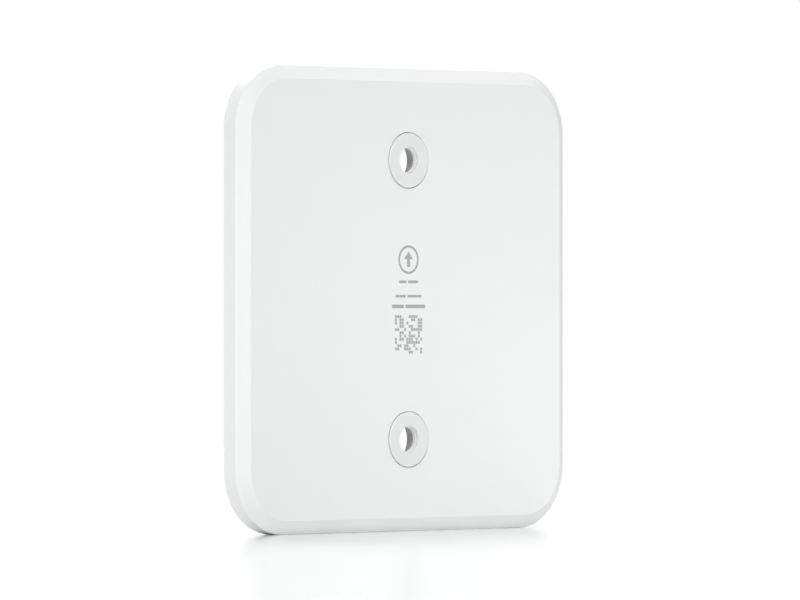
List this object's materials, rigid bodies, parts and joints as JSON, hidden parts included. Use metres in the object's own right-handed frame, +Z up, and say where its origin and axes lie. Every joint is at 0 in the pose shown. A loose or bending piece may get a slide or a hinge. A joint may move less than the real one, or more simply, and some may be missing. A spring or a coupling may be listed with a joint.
{
  "type": "access point mounting plate",
  "caption": "Flat square wall or ceiling plate with a bevelled edge and counterbored screw holes ringed by soft pads; magnets behind its front cover hold a compact access point.",
  "frame": {"origin": "middle of the flat rear face, the face that lies against the wall or ceiling, midway between the screw holes", "axes": "+Y points out of the wall towards the device, through the plate's thickness; +Z is up along the line of the screw holes; +X is to the right seen from the wall side"},
  "size_m": [0.1, 0.006, 0.1],
  "materials": {
    "white_shell": "fine moulded texture, matte, cool white",
    "white_cover": "fine moulded texture, matte, cool white",
    "galvanised_steel": "galvanised sheet",
    "cup_steel": "drawn and zinc plated",
    "silicone": "translucent white silicone, satin",
    "adhesive_tape": "clear double-sided adhesive",
    "magnet_plating": "nickel plating",
    "screw_steel": "zinc plated"
  },
  "bodies": {
    "root": {"rear_cover": "white_shell", "front_cover": "white_cover", "steel_core": "galvanised_steel", "upper_screw_cup": "cup_steel", "lower_screw_cup": "cup_steel", "upper_ring_pad": "silicone", "lower_ring_pad": "silicone", "upper_ring_pad_tape": "adhesive_tape", "lower_ring_pad_tape": "adhesive_tape", "magnet_upper_left": "magnet_plating", "magnet_upper_right": "magnet_plating", "magnet_lower_left": "magnet_plating", "magnet_lower_right": "magnet_plating", "magnet_tape_upper_left": "adhesive_tape", "magnet_tape_upper_right": "adhesive_tape", "magnet_tape_lower_left": "adhesive_tape", "magnet_tape_lower_right": "adhesive_tape", "grip_pad_upper_left": "silicone", "grip_pad_upper_right": "silicone", "grip_pad_lower_left": "silicone", "grip_pad_lower_right": "silicone", "grip_pad_tape_upper_left": "adhesive_tape", "grip_pad_tape_upper_right": "adhesive_tape", "grip_pad_tape_lower_left": "adhesive_tape", "grip_pad_tape_lower_right": "adhesive_tape", "cover_screws": "screw_steel"}
  },
  "joints": []
}
